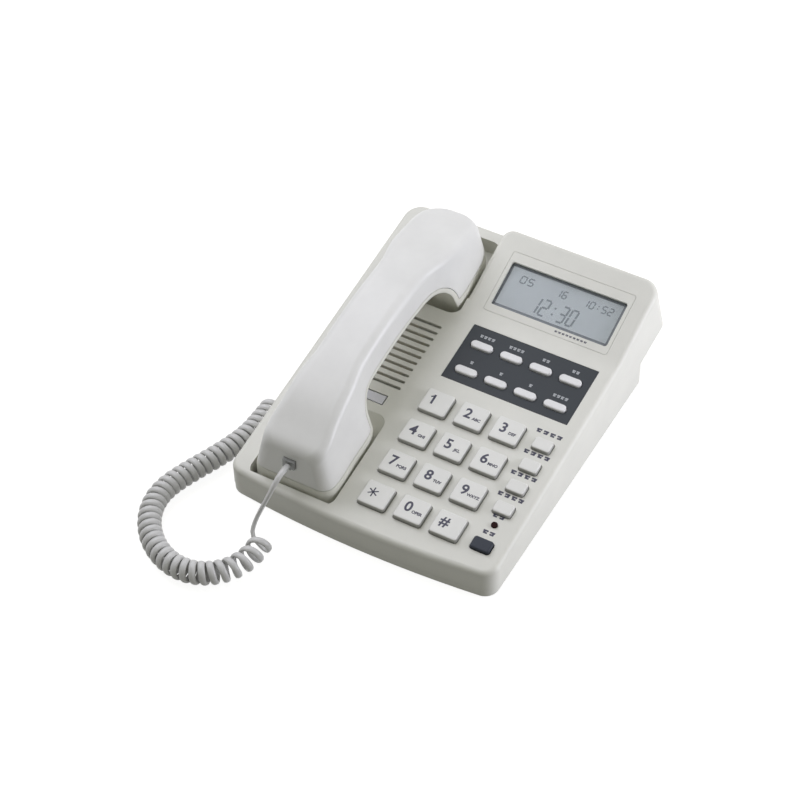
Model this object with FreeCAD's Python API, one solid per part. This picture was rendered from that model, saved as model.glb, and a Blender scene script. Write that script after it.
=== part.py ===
import FreeCAD, Part

import math
import os

from FreeCAD import Placement, Rotation, Vector

# Corded desk telephone: a wedge-shaped base with a keypad, a button panel and a tilted display,
# and a handset lying in a cradle on its left, joined to the base by a curly cord.
# Millimetres. X is the width, Y runs from the front edge to the rear, Z is up, the table is Z = 0,
# and the origin is under the middle of the base.

# Base housing
base_width = 171.6
base_depth = 231.0
front_reach = 114.5
wall = 2.6
deck_height = 36.7
deck_tilt = 8.0
screen_tilt = 19.8
crease_y = 47.5
crease_radius = 40.0
front_bow = 5.0
front_corner_radius = 9.0
rear_corner_radius = 11.0
hump_corner_radius = 7.0
edge_radius = 3.2
table_gap = 1.5
step_y = 80.0
underside_tilt = 9.0
rear_foot_radius = 6.0
rear_foot_height = 28.4
cover_height = 5.0
seam = 0.3
boss_diameter = 5.4
boss_inset = 5.6
boss_front_inset = 30.5
boss_rear_y = 62.0
foot_diameter = 12.0
foot_pocket = 0.8
foot_inset = 16.0
foot_front_inset = 24.5
foot_rear_y = 61.0

# Cradle wells, in the plane of the deck: X, V along the slope from mid depth, H off the deck
left_rim = 12.05
well_width = 55.5
well_depth = 12.0
well_corner_radius = 7.0
cradle_front_rim = 6.4
mouth_well_rear = -41.5
well_cut_height = 30.0
mouth_well_slope = 21.0
ear_well_front = 41.8
ear_well_rear = 101.5

# Loudspeaker slots
slot_count = 11
slot_pitch = 4.98
slot_length = 47.6
slot_width = 1.9
slot_middle = 4.6
speaker_radius = 23.0
speaker_depth = 17.0
speaker_rim = 2.0
speaker_rim_thickness = 1.5
speaker_basket_lip = 0.5
speaker_surround = 1.0
speaker_surround_drop = 0.7
speaker_cap_radius = 5.5
speaker_cone_depth = 5.4
speaker_magnet_height = 6.0
speaker_magnet_step = 2.0

# Dial keys and other buttons
key_columns = 3
key_rows = 4
key_spacing = 5.7
key_row_spacing = 7.68
key_rise = 3.0
key_left_margin = 20.6
key_first_v = -21.3
key_right_margin = 22.35
key_front_inset = 22.16
key_travel = 1.5
function_key_count = 4
function_key_width = 11.4
function_key_length = 8.2
function_key_rise = 2.6
function_key_inset = 15.1
function_key_first_v = -20.9
function_key_front_inset = 45.69
speaker_button_width = 12.0
speaker_button_length = 8.0
speaker_button_rise = 2.2
speaker_button_inset = 19.5
lamp_diameter = 4.0
lamp_inset = 34.5
panel_left_margin = 12.55
panel_right_margin = 9.6
panel_length = 42.0
panel_thickness = 1.6
panel_corner_radius = 0.4
panel_v = 19.5
panel_button_columns = 4
panel_button_rows = 2
panel_button_spacing = 5.3
panel_button_length = 5.2
panel_button_rise = 1.6
panel_button_inset = 12.0
panel_button_first_v = 27.2
panel_button_pitch_v = 19.9
button_gap = 0.45
button_corner_radius = 1.6
button_edge_radius = 0.9
round_end_gap = 0.05
flange_width = 0.8
flange_thickness = 1.0
flange_gap = 0.3
dome_radius = 3.5
dome_height = 2.0
dome_gap = 0.3
mat_thickness = 1.0
mat_margin = 4.0
board_thickness = 1.6
board_left_margin = 3.25
board_right_margin = 9.8
board_front_inset = 11.0
board_rear_v = 38.0
post_diameter = 5.0
post_left_inset = 3.4
post_left_front_inset = 18.5
post_left_rear_v = -2.0
post_right_inset = 9.7
post_right_v = (-56.8, -4.5)
screw_shank = 2.2
screw_head = 4.6
screw_head_height = 1.6
screw_bite = 4.0

# Display, in the plane of the screen: X, R along the slope from the crease, Q off the plane
bezel_left_margin = 12.05
bezel_right_margin = 11.0
bezel_ends = 27.1
bezel_thickness = 1.6
bezel_front_r = 4.6
window_margin = 2.35
window_ends = 11.3
window_shift = 0.75
window_thickness = 1.2
window_lap = 1.0
display_thickness = 4.0
fit_gap = 0.15

# Hook lever
hook_width = 38.0
hook_front = -34.4
hook_rear = -28.6
hook_plate = 2.2
hook_sunk = 0.2
hook_arm_width = 16.0
hook_arm_end = -60.5
hook_gap = 0.8
hook_pin_radius = 1.5
hook_pin_v = -33.0
hook_pin_h = -4.4
hook_pin_gap = 0.2
hook_ear = 3.0
hook_nose = 1.0
hook_switch_width = 13.0
hook_switch_length = 5.0
hook_switch_height = 6.0
hook_switch_gap = 1.0

# Modular sockets and plugs
socket_width = 11.0
socket_height = 10.0
socket_depth = 14.0
plug_width = 7.7
plug_height = 6.6
plug_length = 12.0
plug_proud = 2.0
plug_latch = 1.0
plug_axis = 0.8
plug_gap = 0.25
socket_back = 2.0
socket_raise = 0.5
socket_notch = 2.2
socket_bottom = 2.0
cord_socket_offset = 12.0
line_socket_inset = 43.8
line_socket_width = 13.5
line_opening_width = 9.7
line_opening_height = 6.9

# Handset, in the plane of the deck
handset_front_gap = 1.6
handset_rear = 99.0
handset_lean = 0.19
cup_half_width = 26.5
cup_lean = 0.22
handle_half_width = 17.0
handle_lean = 0.04
cup_sole = -11.7
cup_draft = 1.0
cup_knee = 1.0
arch_radius = 258.0
arch_top = 46.6
arch_v = -11.9
crown_radius = 6.0
flare_front = -62.0
flare_rear = 54.0
flare_length = 27.0
nose_radius = 33.0
nose_end = 0.4
nose_edge = 4.0
nose_power = 8
front_round = 8.0
front_edge = 4.0
handle_thickness = 21.5
grip_front = -52.0
grip_rear = 47.0
grip_front_radius = 11.0
grip_rear_radius = 15.0
grip_lean = 0.07
cup_chamfer_top = -4.5
handset_wall = 2.2
handset_seam_rise = 3.0
cup_seam = 4.5
handset_socket_drop = 11.631
receiver_radius = 17.0
receiver_height = 9.0
receiver_v = 75.2
ear_hole_radius = 1.3
ear_hole_ring = 8.0
ear_hole_count = 8
microphone_radius = 4.9
microphone_height = 5.5
microphone_v = -82.0
mouth_hole_radius = 0.9
mouth_hole_pitch = 4.0
weight_length = 46.0
weight_width = 20.0
weight_height = 7.0
weight_gap = 0.05
handset_boss_radius = 2.6
handset_screw_v = (-72.0, 54.9)
base_microphone_radius = 3.2
base_microphone_height = 4.5
base_microphone_offset = 8.5
base_microphone_inset = 16.5

# Curly cord, whose routes are measured from the left side of the base
wire_diameter = 3.4
wire_sides = 6
coil_diameter = 14.6
coil_quarter_turns = 163
coil_height = 7.4
coil_loosening = 0.35
coil_loose_from = 0.85
cord_gap = 0.3
bend_share = 0.45
section_up = Vector(0.31, 0.17, 0.94)
coil_route = [
    (-8.8, -48.0), (-8.8, -62.0), (-9.8, -76.0), (-16.2, -95.5), (-24.5, -115.0), (-29.5, -130.0),
    (-29.7, -143.0), (-25.0, -156.0), (-14.9, -168.0), (-1.2, -175.8), (12.3, -177.9), (24.0, -174.6),
    (33.6, -167.0), (39.2, -156.6), (40.8, -147.2), (40.4, -139.0)]
base_lead_route = [
    (27.8, 93.6, 6.8), (18.3, 101.2, 5.2), (3.8, 100.2, 3.4), (-8.2, 92.6, 2.4), (-12.8, 78.0, 2.0),
    (-11.6, 58.0, 2.2), (-9.4, 34.0, 2.0), (-7.4, 9.0, 2.2), (-4.8, -14.0, 2.0), (-3.2, -30.0, 2.2)]
handset_lead_route = [
    (32.2, -136.9, 5.2), (30.8, -132.9, 8.8), (31.8, -129.4, 14.6), (34.2, -126.0, 22.0),
    (36.9, -123.0, 30.0), (38.9, -119.5, 36.9), (39.6, -114.0, 40.2)]

half_width = base_width / 2
rear_y = base_depth - front_reach
front_v = -front_reach
hump_length = rear_y - crease_y
boss_front_y = front_v + boss_front_inset
foot_front_y = front_v + foot_front_inset
mouth_well_front = front_v + cradle_front_rim
handset_front = mouth_well_front + handset_front_gap
key_pitch_v = (key_first_v - front_v - key_front_inset) / (key_rows - 1)
key_length = key_pitch_v - key_row_spacing
function_key_pitch = (function_key_first_v - front_v - function_key_front_inset) / (function_key_count - 1)
speaker_button_v = front_v + speaker_button_inset
lamp_v = front_v + lamp_inset
board_front_v = front_v + board_front_inset
post_left_v = (front_v + post_left_front_inset, post_left_rear_v)
base_microphone_v = front_v + base_microphone_inset
bezel_length = hump_length - bezel_ends
bezel_r = bezel_front_r + bezel_length / 2
window_length = bezel_length - window_ends
window_r = bezel_r - window_shift
deck_angle = math.radians(deck_tilt)
screen_angle = math.radians(screen_tilt)
underside_angle = math.radians(underside_tilt)
crease_z = deck_height + crease_y * math.tan(deck_angle)
deck_frame = Placement(Vector(0, 0, deck_height), Rotation(Vector(1, 0, 0), deck_tilt))
screen_frame = Placement(Vector(0, crease_y, crease_z), Rotation(Vector(1, 0, 0), screen_tilt))
cradle_x = left_rim + well_width / 2 - half_width
cradle_right = cradle_x + well_width / 2
function_key_x = half_width - function_key_inset
key_first_x = cradle_right + key_left_margin
key_pitch_x = (function_key_x - key_right_margin - key_first_x) / (key_columns - 1)
key_width = key_pitch_x - key_spacing
panel_left_x = cradle_right + panel_left_margin
panel_width = half_width - panel_right_margin - panel_left_x
panel_x = panel_left_x + panel_width / 2
panel_button_first_x = panel_left_x + panel_button_inset
panel_button_pitch_x = (panel_width - 2 * panel_button_inset) / (panel_button_columns - 1)
panel_button_width = panel_button_pitch_x - panel_button_spacing
board_left_x = cradle_right + board_left_margin
board_right_x = half_width - board_right_margin
post_left_x = board_left_x + post_left_inset
post_right_x = function_key_x - post_right_inset
base_microphone_x = (board_left_x + board_right_x) / 2 - base_microphone_offset
bezel_left_x = cradle_right + bezel_left_margin
bezel_width = half_width - bezel_right_margin - bezel_left_x
display_x = bezel_left_x + bezel_width / 2
window_width = bezel_width - 2 * window_margin
cord_socket_x = cradle_x - cord_socket_offset
line_socket_x = half_width - line_socket_inset
far = 400.0
over_cut = 1.0
near = 0.1
flange_bottom = -(wall + flange_gap + flange_thickness)
dome_top = flange_bottom - key_travel - dome_gap
mat_top = dome_top - dome_height
board_top = mat_top - mat_thickness
board_bottom = board_top - board_thickness


def in_frame(shape, frame):
    """A copy of a shape that was drawn in a tilted frame, set in the frame of the whole phone."""
    copy = shape.copy()
    copy.Placement = frame.multiply(shape.Placement)
    return copy


def side_prism(x0, x1, steps):
    """Prism along X over a closed outline in (Y, Z); a pair of points is an arc through the first."""
    edges = []
    last = Vector(x0, *steps[0])
    first = last
    for step in steps[1:] + [steps[0]]:
        is_arc = isinstance(step[0], tuple)
        end = Vector(x0, *(step[1] if is_arc else step))
        if is_arc:
            edges.append(Part.Arc(last, Vector(x0, *step[0]), end).toShape())
        elif end.distanceToPoint(last) > 1e-6:
            edges.append(Part.LineSegment(last, end).toShape())
        last = end
    assert last.distanceToPoint(first) < 1e-6
    return Part.Face(Part.Wire(edges)).extrude(Vector(x1 - x0, 0, 0))


def rounded_box(x, y, width, length, bottom, top, radius):
    """Upright box centred on (x, y) with rounded vertical edges."""
    box = Part.makeBox(width, length, top - bottom, Vector(x - width / 2, y - length / 2, bottom))
    upright = [edge for edge in box.Edges if abs(edge.tangentAt(edge.FirstParameter).z) > 0.9]
    return box.makeFillet(radius, upright)


def cylinder(radius, bottom, top, x, y):
    return Part.makeCylinder(radius, top - bottom, Vector(x, y, bottom))


def fuse_all(shapes):
    return shapes[0].multiFuse(shapes[1:]).removeSplitter() if len(shapes) > 1 else shapes[0]


def line_meet(point_a, direction_a, point_b, direction_b):
    """Where two lines of a side view cross."""
    cross = direction_a[0] * direction_b[1] - direction_a[1] * direction_b[0]
    gap = (point_b[0] - point_a[0], point_b[1] - point_a[1])
    along = (gap[0] * direction_b[1] - gap[1] * direction_b[0]) / cross
    return (point_a[0] + along * direction_a[0], point_a[1] + along * direction_a[1])


def export(shape, name):
    shape.exportStep("parts/" + name + ".step")


def base_block(inset, has_screen):
    """The base as a solid, inset from its outer faces; without the screen the deck runs to the rear."""
    deck_way = (math.cos(deck_angle), math.sin(deck_angle))
    deck_up = (-math.sin(deck_angle), math.cos(deck_angle))
    screen_way = (math.cos(screen_angle), math.sin(screen_angle))
    screen_up = (-math.sin(screen_angle), math.cos(screen_angle))
    under_out = (math.sin(underside_angle), -math.cos(underside_angle))
    deck_point = (-inset * deck_up[0], deck_height - inset * deck_up[1])
    screen_point = (crease_y - inset * screen_up[0], crease_z - inset * screen_up[1])
    foot = (rear_y - rear_foot_radius, rear_foot_height)
    foot_radius = rear_foot_radius - inset
    rear_start = (foot[0] + foot_radius * screen_way[0], foot[1] + foot_radius * screen_way[1])
    foot_mid_angle = (screen_angle + underside_angle - math.pi / 2) / 2
    foot_mid = (foot[0] + foot_radius * math.cos(foot_mid_angle),
                foot[1] + foot_radius * math.sin(foot_mid_angle))
    foot_end = (foot[0] + foot_radius * under_out[0], foot[1] + foot_radius * under_out[1])
    step_face = step_y - inset
    under_way = (-under_out[1], under_out[0])
    step_top = line_meet(foot_end, under_way, (step_face, 0), (0, 1))
    floor = table_gap + inset
    front = -front_reach - front_bow
    deck_front = line_meet(deck_point, deck_way, (front, 0), (0, 1))
    steps = [(front, floor), deck_front]
    if has_screen:
        crease = line_meet(deck_point, deck_way, screen_point, screen_way)
        radius = crease_radius + inset
        reach = radius * math.tan((screen_angle - deck_angle) / 2)
        start = (crease[0] - reach * deck_way[0], crease[1] - reach * deck_way[1])
        end = (crease[0] + reach * screen_way[0], crease[1] + reach * screen_way[1])
        centre = (start[0] + radius * deck_up[0], start[1] + radius * deck_up[1])
        middle_angle = (deck_angle + screen_angle) / 2
        middle = (centre[0] + radius * math.sin(middle_angle), centre[1] - radius * math.cos(middle_angle))
        steps += [start, (middle, end), line_meet(screen_point, screen_way, rear_start, screen_up)]
    else:
        steps.append(line_meet(deck_point, deck_way, rear_start, screen_up))
    steps += [rear_start, (foot_mid, foot_end), step_top, (step_face, floor)]
    side = half_width - inset
    slab = side_prism(-side, side, steps)
    return slab.common(front_prism(inset)).common(rear_prism(inset))


def front_prism(inset):
    """Upright prism over the plan outline: a bowed front with rounded corners."""
    side = half_width - inset
    corner_y = -front_reach + front_bow + inset
    corners = [Vector(-side, corner_y, 0), Vector(side, corner_y, 0), Vector(side, far, 0),
               Vector(-side, far, 0)]
    bow = Part.Arc(corners[0], Vector(0, -front_reach + inset, 0), corners[1]).toShape()
    sides = [Part.LineSegment(a, b).toShape() for a, b in zip(corners[1:], corners[2:] + corners[:1])]
    prism = Part.Face(Part.Wire([bow] + sides)).extrude(Vector(0, 0, far))
    front_edges = [edge for edge in prism.Edges
                   if edge.CenterOfMass.y < corner_y + near and edge.Length > far - near]
    return prism.makeFillet(front_corner_radius - inset, front_edges)


def rear_prism(inset):
    """Prism square to the screen plane, whose rear face is the back of the base."""
    side = half_width - inset
    rear = rear_r() - inset
    prism = Part.makeBox(2 * side, rear + far, 2 * far, Vector(-side, -far, -far))
    rear_edges = [edge for edge in prism.Edges
                  if abs(edge.CenterOfMass.y - rear) < near and edge.Length > far]
    return in_frame(prism.makeFillet(rear_corner_radius - inset, rear_edges), screen_frame)


def rear_r():
    """Where the back of the base lies, along the plane of the screen."""
    foot = Vector(0, rear_y - rear_foot_radius, rear_foot_height)
    return screen_frame.inverse().multVec(foot).y + rear_foot_radius


def hump_prism(inset):
    """Prism square to the screen plane that keeps the raised part, rounded by the cradle at its rear."""
    left = cradle_right + inset
    rear = rear_r() - inset
    prism = Part.makeBox(far, rear + crease_y / 2, 2 * far, Vector(left, -crease_y / 2, -far))
    corner = [edge for edge in prism.Edges
              if edge.Length > far + near
              and edge.CenterOfMass.distanceToPoint(Vector(left, rear, 0)) < near]
    return in_frame(prism.makeFillet(hump_corner_radius - inset, corner), screen_frame)


def round_top(block, front=-far):
    """Round the whole upper rim of a block, or the part of it behind a place."""
    tops = []
    for face in block.Faces:
        u0, u1, v0, v1 = face.ParameterRange
        if face.normalAt((u0 + u1) / 2, (v0 + v1) / 2).z > math.cos(math.radians(screen_tilt + deck_tilt)):
            tops.append(face)
    edges = [edge for face in tops for edge in face.Edges]
    rim = [edge for edge in edges if sum(edge.isSame(other) for other in edges) == 1
           and edge.BoundBox.YMax > front]
    return block.makeFillet(edge_radius, rim)


def joined_block(inset):
    """Cradle side at deck level, and keypad side with the raised screen and its rounded left edge."""
    split = cradle_right + inset
    left_half = Part.makeBox(far, 2 * far, far, Vector(split - far, -far, -over_cut))
    low = base_block(inset, False)
    high = base_block(inset, True)
    hump = high.common(hump_prism(inset))
    if inset == 0:
        low = round_top(low)
        high = round_top(high)
        hump = round_top(hump, crease_y - hump_corner_radius)
    edge_start = crease_y + hump_corner_radius
    edge_zone = Part.makeBox(2 * hump_corner_radius, far, far, Vector(split, edge_start, 0))
    return low.common(left_half), high.cut(left_half).cut(edge_zone.cut(low).cut(hump))


def wells(grow):
    """The two cradle wells, grown all round by one wall for the housing that lines them."""
    width = well_width + 2 * grow
    top = well_cut_height
    floor = -well_depth - grow
    front = mouth_well_front - grow
    rear = mouth_well_rear + grow
    profile = side_prism(cradle_x - width, cradle_x + width, [
        (front + handset_lean * floor, floor), (rear - mouth_well_slope, floor), (rear, 0), (rear, top),
        (front + handset_lean * top, top)])
    lean_reach = handset_lean * well_depth + grow
    mouth_length = rear - front + lean_reach
    mouth_middle = (rear + front - lean_reach) / 2
    radius = well_corner_radius + grow
    mouth = profile.common(rounded_box(cradle_x, mouth_middle, width, mouth_length, floor, top, radius))
    ear_length = ear_well_rear - ear_well_front + 2 * grow
    ear_middle = (ear_well_rear + ear_well_front) / 2
    ear = rounded_box(cradle_x, ear_middle, width, ear_length, floor, top, radius)
    return [in_frame(mouth, deck_frame), in_frame(ear, deck_frame)]


def cover_zone(rise):
    """The slice of the base that the bottom cover takes, up to a height above the underside."""
    under_slope = math.tan(underside_angle)
    foot_out = rear_foot_radius / math.cos(underside_angle)
    foot_y = rear_y - rear_foot_radius
    step_top = rear_foot_height - foot_out - (foot_y - step_y) * under_slope
    rear = rear_y + over_cut
    return side_prism(-far, far, [
        (-far, -over_cut), (-far, table_gap + rise), (step_y - rise, table_gap + rise),
        (step_y - rise, step_top + rise - rise * under_slope),
        (rear, step_top + rise + (rear - step_y) * under_slope),
        (rear, -over_cut)])


def button_places():
    """Name, centre, width, length and rise of every button, in the plane of the deck."""
    places = []
    names = ["1", "2", "3", "4", "5", "6", "7", "8", "9", "star", "0", "hash"]
    for row in range(key_rows):
        for column in range(key_columns):
            name = "key_" + names[row * key_columns + column]
            x = key_first_x + column * key_pitch_x
            places.append((name, x, key_first_v - row * key_pitch_v, key_width, key_length, key_rise))
    for row in range(function_key_count):
        v = function_key_first_v - row * function_key_pitch
        size = (function_key_width, function_key_length, function_key_rise)
        places.append(("function_key_%d" % (row + 1), function_key_x, v) + size)
    size = (speaker_button_width, speaker_button_length, speaker_button_rise)
    places.append(("speaker_button", function_key_x, speaker_button_v) + size)
    for row in range(panel_button_rows):
        for column in range(panel_button_columns):
            name = "panel_button_%d" % (row * panel_button_columns + column + 1)
            x = panel_button_first_x + column * panel_button_pitch_x
            v = panel_button_first_v - row * panel_button_pitch_v
            places.append((name, x, v, panel_button_width, panel_button_length, panel_button_rise))
    return places


def corner_of(width, length):
    """Corner radius of a button: the panel's slim buttons are round-ended."""
    is_slim = length <= panel_button_length
    return min(width, length) / 2 - round_end_gap if is_slim else button_corner_radius


def button(place):
    """Cap with a rounded top and a flange that stops under the housing."""
    name, x, v, width, length, rise = place
    corner = corner_of(width, length)
    cap = rounded_box(x, v, width, length, flange_bottom, rise, corner)
    rim = [edge for edge in cap.Edges if edge.BoundBox.ZMin > rise - 0.01]
    cap = cap.makeFillet(button_edge_radius, rim)
    grown = 2 * (button_gap + flange_width)
    flange = rounded_box(x, v, width + grown, length + grown,
                         flange_bottom, flange_bottom + flange_thickness, corner)
    return in_frame(fuse_all([cap, flange]), deck_frame)


def button_hole(place):
    name, x, v, width, length, rise = place
    corner = corner_of(width, length) + button_gap
    hole = rounded_box(x, v, width + 2 * button_gap, length + 2 * button_gap, flange_bottom, key_rise, corner)
    return in_frame(hole, deck_frame)


def panel_plate(gap):
    plate = rounded_box(panel_x, panel_v, panel_width + 2 * gap, panel_length + 2 * gap,
                        -panel_thickness, 0.0, panel_corner_radius)
    return in_frame(plate, deck_frame)


def post_places():
    return [(post_left_x, v) for v in post_left_v] + [(post_right_x, v) for v in post_right_v]


def boss_places():
    boss_x = half_width - boss_inset
    return [(side * boss_x, y) for side in (-1, 1) for y in (boss_front_y, boss_rear_y)]


def slots():
    first = slot_middle - slot_pitch * (slot_count - 1) / 2
    cuts = []
    for index in range(slot_count):
        v = first + index * slot_pitch
        radius = slot_width / 2 - round_end_gap
        cuts.append(rounded_box(cradle_x, v, slot_length, slot_width, -2 * wall, wall, radius))
    return [in_frame(cut, deck_frame) for cut in cuts]


def hook_opening():
    """T-shaped opening for the hook lever: its plate in the deck and its arm in the well's slope."""
    gap = 2 * hook_gap
    length = hook_rear - hook_front
    plate_corner = Vector(cradle_x - hook_width / 2 - hook_gap, hook_front - hook_gap, -wall - hook_gap)
    plate = Part.makeBox(hook_width + gap, length + gap, 2 * wall + well_depth, plate_corner)
    arm_corner = Vector(cradle_x - hook_arm_width / 2 - hook_gap, hook_arm_end - hook_gap, -2 * well_depth)
    arm = Part.makeBox(hook_arm_width + gap, hook_front - hook_arm_end + gap, 3 * well_depth, arm_corner)
    return [in_frame(plate, deck_frame), in_frame(arm, deck_frame)]


def hook_ears():
    """Two lugs under the deck that carry the hook lever's pin."""
    drop = hook_pin_h - 2 * hook_pin_radius
    lugs = []
    for side in (-1, 1):
        middle = cradle_x + side * (hook_width / 2 + hook_gap + hook_ear / 2)
        lug = Part.makeBox(hook_ear, 4 * hook_pin_radius, -drop - wall / 2,
                           Vector(middle - hook_ear / 2, hook_pin_v - 2 * hook_pin_radius, drop))
        bore = Part.makeCylinder(hook_pin_radius + hook_pin_gap, 2 * hook_ear,
                                 Vector(middle - hook_ear, hook_pin_v, hook_pin_h), Vector(1, 0, 0))
        lugs.append(in_frame(lug.cut(bore), deck_frame))
    return lugs


def hook_lever():
    """Rocking lever: a plate in the deck, an arm down the well's slope and a pivot pin."""
    slope = well_depth / mouth_well_slope
    end_h = (hook_arm_end - mouth_well_rear) * slope
    drop = hook_plate * math.hypot(1, slope)
    under = -hook_sunk - hook_plate
    plate = side_prism(cradle_x - hook_width / 2, cradle_x + hook_width / 2, [
        (hook_front, -hook_sunk), (hook_rear, -hook_sunk), (hook_rear, under), (hook_front, under)])
    nose_v = hook_arm_end + 2 * hook_nose
    nose_h = (nose_v - mouth_well_rear) * slope
    arm = side_prism(cradle_x - hook_arm_width / 2, cradle_x + hook_arm_width / 2, [
        (hook_rear, -hook_sunk), (mouth_well_rear, -hook_sunk),
        (nose_v + 2 * hook_nose, nose_h + 2 * hook_nose * slope - hook_sunk), (nose_v, nose_h + hook_nose),
        (hook_arm_end, end_h), (hook_arm_end, end_h - drop), (mouth_well_rear, -hook_sunk - drop),
        (hook_rear, under)])
    reach = hook_width / 2 + hook_gap + hook_ear
    pin = Part.makeCylinder(hook_pin_radius, 2 * reach, Vector(cradle_x - reach, hook_pin_v, hook_pin_h),
                            Vector(1, 0, 0))
    web = Part.makeBox(hook_width, 2 * hook_pin_radius, under / 2 - hook_pin_h,
                       Vector(cradle_x - hook_width / 2, hook_pin_v - hook_pin_radius, hook_pin_h))
    return in_frame(fuse_all([plate, arm, web, pin]), deck_frame)


def hook_switch_box(bottom, top):
    """Upright box under the lever's tail, in the plane of the deck."""
    return Part.makeBox(hook_switch_width, hook_switch_length, top - bottom,
                        Vector(cradle_x - hook_switch_width / 2, hook_rear - hook_switch_length / 2, bottom))


def hook_switch_heights():
    top = -hook_sunk - hook_plate - hook_switch_gap
    return top - hook_switch_height, top


def socket_frame_rear(x):
    """Frame of a socket in the step under the rear: Y runs into the base."""
    return Placement(Vector(x, step_y, socket_bottom + socket_height / 2), Rotation(Vector(0, 0, 1), 180))


def socket_frame_handset():
    """Frame of the handset's socket: Y runs into the handset from its front face."""
    face_angle = math.degrees(math.atan(handset_lean))
    height = arch_height(handset_front) - handset_socket_drop
    place = Vector(cradle_x, handset_front + handset_lean * height, height)
    return deck_frame.multiply(Placement(place, Rotation(Vector(1, 0, 0), -face_angle)))


def socket_block(width, grow, start):
    """Outer block of a modular socket, whose mouth is in the plane Y = 0."""
    return Part.makeBox(width + 2 * grow, socket_depth - start + grow, socket_height + 2 * grow,
                        Vector(-width / 2 - grow, start, -socket_height / 2 - grow))


def socket_mouth(opening_width, opening_height, start):
    """Opening of a socket, and the latch notch below it."""
    opening = Part.makeBox(opening_width, socket_depth - socket_back - start, opening_height,
                           Vector(-opening_width / 2, start, -opening_height / 2 + socket_raise))
    notch_bottom = socket_raise - opening_height / 2 - socket_notch / 2
    notch = Part.makeBox(opening_width / 2, socket_depth - 2 * socket_back - start, socket_notch,
                         Vector(-opening_width / 4, start, notch_bottom))
    return opening.fuse(notch).removeSplitter()


def socket(width, opening_width, opening_height, start):
    """Socket block whose mouth opens towards the plane Y = 0."""
    return socket_block(width, 0, start).cut(socket_mouth(opening_width, opening_height, 0))


def plug():
    """Modular plug in its socket: the body that holds the cord, and the latch under it."""
    height = plug_height - plug_latch
    body = Part.makeBox(plug_width, plug_length, height,
                        Vector(-plug_width / 2, -plug_proud, plug_axis - height / 2))
    latch_width = plug_width / 2 - plug_latch
    latch = Part.makeBox(latch_width, plug_length - plug_latch, plug_latch,
                         Vector(-latch_width / 2, -plug_proud, plug_axis - height / 2 - plug_latch))
    return body.fuse(latch).removeSplitter()


def cord_exit(frame, gap):
    """Where the cord leaves a plug."""
    return frame.multVec(Vector(0, -plug_proud - gap, plug_axis))


def top_housing(outer_parts, inner):
    """Upper shell with the cradle, every opening, and the posts and bosses that hang from it."""
    lining = wells(wall)
    hollow = inner.cut(lining[0]).cut(lining[1])
    left, right = outer_parts
    for well in wells(0):
        left = left.cut(well)
    shell = left.fuse(right).removeSplitter().cut(hollow).cut(cover_zone(cover_height + seam))
    posts = [in_frame(cylinder(post_diameter / 2, board_top, -wall / 2, x, v), deck_frame)
             for x, v in post_places()]
    bosses = []
    for x, y in boss_places():
        boss = cylinder(boss_diameter / 2, table_gap + wall, far, x, y)
        bosses.append(boss.common(inner))
    shell = fuse_all([shell] + posts + hook_ears() + bosses)
    cuts = [button_hole(place) for place in button_places()]
    cuts += slots() + hook_opening()
    cuts.append(panel_plate(fit_gap))
    cuts.append(in_frame(cylinder(lamp_diameter / 2, -2 * wall, wall, function_key_x, lamp_v), deck_frame))
    cuts.append(in_frame(bezel_plate(fit_gap), screen_frame))
    cuts.append(in_frame(rounded_box(display_x, window_r, window_width + 2 * (window_lap + fit_gap),
                                     window_length + 2 * (window_lap + fit_gap), -2 * wall, wall,
                                     button_corner_radius), screen_frame))
    for x, v in post_places():
        cuts.append(in_frame(cylinder(screw_shank / 2, board_top, board_top + screw_bite, x, v), deck_frame))
    for x, y in boss_places():
        cuts.append(cylinder(screw_shank / 2, 0, table_gap + wall + 2 * screw_bite, x, y))
    return shell.cut(cuts[0].multiFuse(cuts[1:]))


def bottom_cover(outer_parts, inner):
    """Tray that closes the underside, with foot pockets, screw recesses and two socket openings."""
    slab = outer_parts[0].fuse(outer_parts[1]).removeSplitter().common(cover_zone(cover_height))
    tray = slab.common(front_prism(seam)).cut(inner)
    riser = in_frame(hook_switch_box(-far, hook_switch_heights()[0]), deck_frame)
    above_floor = Part.makeBox(2 * far, 2 * far, far, Vector(-far, -far, table_gap + wall / 2))
    tray = fuse_all([tray, riser.common(above_floor)])
    cuts = []
    for x, width in ((cord_socket_x, socket_width), (line_socket_x, line_socket_width)):
        cuts.append(in_frame(socket_block(width, fit_gap, -wall), socket_frame_rear(x)))
        cuts.append(Part.makeBox(width, socket_depth, 2 * socket_bottom,
                                 Vector(x - width / 2, step_y - socket_depth, 0)))
    for x, y in foot_places():
        cuts.append(cylinder(foot_diameter / 2 + fit_gap, 0, table_gap + foot_pocket, x, y))
    for x, y in boss_places():
        cuts.append(cylinder(screw_shank / 2 + fit_gap, 0, 2 * wall, x, y))
        cuts.append(cylinder(screw_head / 2 + fit_gap, 0, table_gap + screw_head_height, x, y))
    return tray.cut(cuts[0].multiFuse(cuts[1:]))


def foot_places():
    foot_x = half_width - foot_inset
    return [(side * foot_x, y) for side in (-1, 1) for y in (foot_front_y, foot_rear_y)]


def bezel_plate(gap):
    return rounded_box(display_x, bezel_r, bezel_width + 2 * gap, bezel_length + 2 * gap,
                       -bezel_thickness, 0.0, button_corner_radius)


def lcd_bezel():
    opening = rounded_box(display_x, window_r, window_width, window_length,
                          -2 * wall, wall, button_corner_radius)
    return in_frame(bezel_plate(0).cut(opening), screen_frame)


def display_layer(top, thickness, lap):
    layer = rounded_box(display_x, window_r, window_width + 2 * lap, window_length + 2 * lap,
                        top - thickness, top, button_corner_radius)
    return in_frame(layer, screen_frame)


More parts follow.
